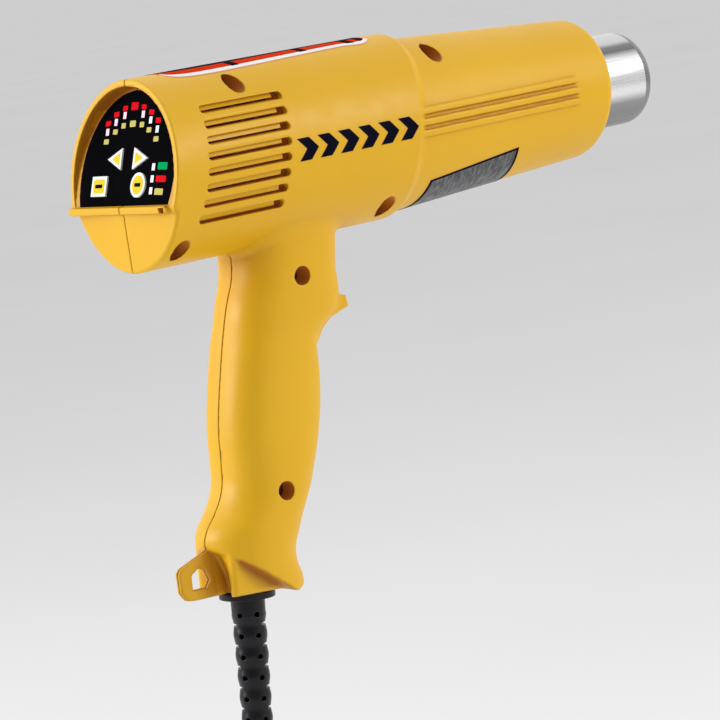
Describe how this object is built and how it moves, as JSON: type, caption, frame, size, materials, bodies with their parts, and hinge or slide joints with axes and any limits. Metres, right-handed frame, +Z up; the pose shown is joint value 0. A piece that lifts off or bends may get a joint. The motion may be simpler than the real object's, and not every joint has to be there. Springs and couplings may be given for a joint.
{
  "type": "heat gun",
  "caption": "Pistol-grip hot-air gun with a clamshell housing, sloping rear key panel, side vents, plain steel nozzle, hanging loop and tied mains cord.",
  "frame": {"origin": "middle of the hand grip, on the joint plane of the two shells", "axes": "+X forward along the barrel, +Z up, +Y to the user's left"},
  "size_m": [0.254, 0.066, 0.4063],
  "materials": {
    "yellow_shell": "fine satin moulded plastic",
    "panel_black": "gloss printed panel",
    "key_face": "satin printed key, white edged",
    "black_rubber": "matt moulded rubber",
    "cord_jacket": "matt extruded jacket",
    "black_plastic": "matt",
    "bright_nozzle": "polished drawn tube",
    "steel": "plated",
    "screw_steel": "blackened",
    "aluminium": "extruded",
    "brass": "plain",
    "bronze": "sintered",
    "magnet": "sintered ferrite",
    "board_green": "solder resist",
    "chip_black": "matt",
    "capacitor_yellow": "gloss",
    "connector_blue": "matt",
    "copper_winding": "enamelled wire",
    "fan_plastic": "natural nylon",
    "duct_plastic": "heat-resistant nylon",
    "mica": "mica sheet",
    "ceramic_white": "unglazed",
    "heater_wire": "oxidised resistance wire",
    "led_red": "clear tinted lens",
    "led_clear": "clear lens",
    "wire_jacket": "silicone sleeve",
    "ribbon_grey": "matt",
    "label_red": "printed film",
    "label_dark": "printed film"
  },
  "bodies": {
    "housing": {"shell_right": "yellow_shell", "shell_left": "yellow_shell", "housing_screws": "screw_steel", "control_panel": "panel_black", "control_board": "board_green", "tact_switches": "steel", "arc_leds": "led_red", "status_leds": "led_clear", "control_chip": "chip_black", "fan_duct": "duct_plastic", "motor_can": "steel", "motor_magnets": "magnet", "motor_bushes": "bronze", "motor_end_cap": "black_plastic", "motor_screws": "steel", "rectifier_board": "board_green", "nozzle_tube": "bright_nozzle", "nozzle_spacer": "ceramic_white", "heater_base": "mica", "heater_screws": "steel", "mica_sleeve": "mica", "heater_former": "mica", "heating_coils": "heater_wire", "thermal_cutout": "ceramic_white", "outlet_sensor": "steel", "power_board": "board_green", "heat_sink": "aluminium", "triac": "chip_black", "filter_capacitor": "capacitor_yellow", "choke_ring": "copper_winding", "terminal_block": "connector_blue", "mains_leads": "wire_jacket", "control_ribbon": "ribbon_grey", "heater_leads": "wire_jacket", "cord_clamp": "black_plastic", "strain_relief": "black_rubber", "power_cord": "cord_jacket", "cord_coil": "cord_jacket", "cord_tie": "black_plastic", "plug_body": "black_rubber", "plug_blades": "brass", "top_label": "label_red", "data_label": "label_dark"},
    "fan_rotor": {"fan_impeller": "fan_plastic", "motor_rotor": "steel"},
    "key_up": {"button_up": "key_face"},
    "key_down": {"button_down": "key_face"},
    "key_mode": {"button_mode": "key_face"},
    "key_power": {"button_power": "key_face"}
  },
  "joints": [
    {"name": "fan_spin", "type": "hinge", "parent": "housing", "child": "fan_rotor", "pos_m": [0.019, 0, 0.092], "axis": [1, 0, 0], "continuous": true},
    {"name": "key_up_press", "type": "slide", "parent": "housing", "child": "key_up", "axis": [0.9455, 0, -0.3256], "range_m": [0, 0.0005], "stiffness_N_per_m": 800, "springref_m": -0.0005},
    {"name": "key_down_press", "type": "slide", "parent": "housing", "child": "key_down", "axis": [0.9455, 0, -0.3256], "range_m": [0, 0.0005], "stiffness_N_per_m": 800, "springref_m": -0.0005},
    {"name": "key_mode_press", "type": "slide", "parent": "housing", "child": "key_mode", "axis": [0.9455, 0, -0.3256], "range_m": [0, 0.0005], "stiffness_N_per_m": 800, "springref_m": -0.0005},
    {"name": "key_power_press", "type": "slide", "parent": "housing", "child": "key_power", "axis": [0.9455, 0, -0.3256], "range_m": [0, 0.0005], "stiffness_N_per_m": 800, "springref_m": -0.0005}
  ]
}
